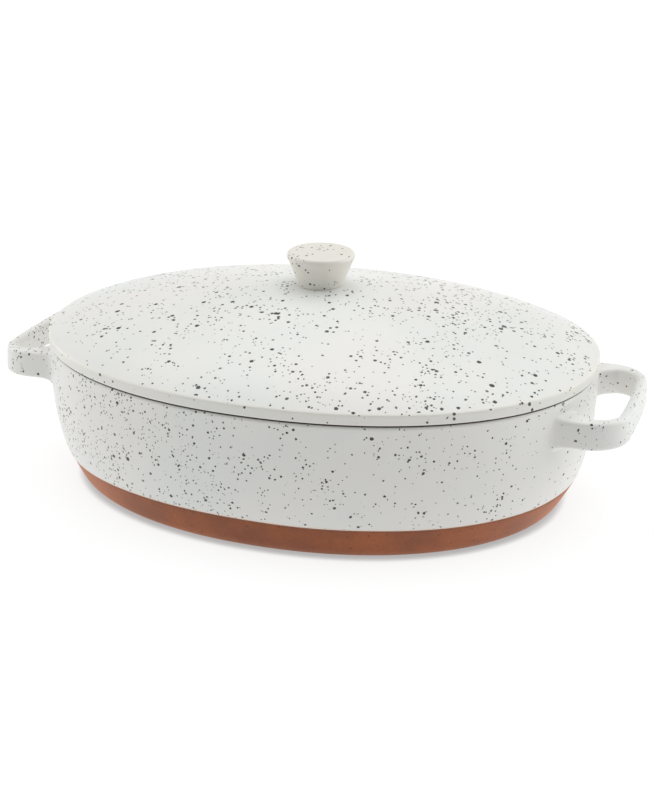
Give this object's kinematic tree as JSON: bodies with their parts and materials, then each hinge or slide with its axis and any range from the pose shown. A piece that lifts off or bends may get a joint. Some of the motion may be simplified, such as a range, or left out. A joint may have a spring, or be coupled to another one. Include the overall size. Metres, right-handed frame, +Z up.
{
  "type": "covered casserole dish",
  "caption": "Oval stoneware casserole with loop handles, speckled off-white glaze, bare terracotta foot and a domed lift-off lid with a flared knob.",
  "frame": {"origin": "middle of the foot, on the surface that the dish stands on", "axes": "+X from handle to handle along the oval, +Z up through the knob, +Y across the oval"},
  "size_m": [0.3822, 0.25, 0.1417],
  "materials": {
    "wall_glaze": "satin off-white glaze with dark brown speckles",
    "handle_glaze": "satin off-white glaze with sparse dark speckles",
    "lid_glaze": "satin off-white glaze with dense dark brown speckles",
    "knob_glaze": "satin off-white glaze with few dark speckles",
    "terracotta": "bare, unglazed red-brown clay"
  },
  "bodies": {
    "dish": {"glazed_wall": "wall_glaze", "terracotta_base": "terracotta", "left_handle": "handle_glaze", "right_handle": "handle_glaze"},
    "lid": {"lid_plate": "lid_glaze", "lid_locating_ring": "lid_glaze", "lid_knob": "knob_glaze"}
  },
  "joints": [
    {"name": "lid_lift", "type": "slide", "parent": "dish", "child": "lid", "axis": [0, 0, 1], "range_m": [0, 0.15]}
  ]
}
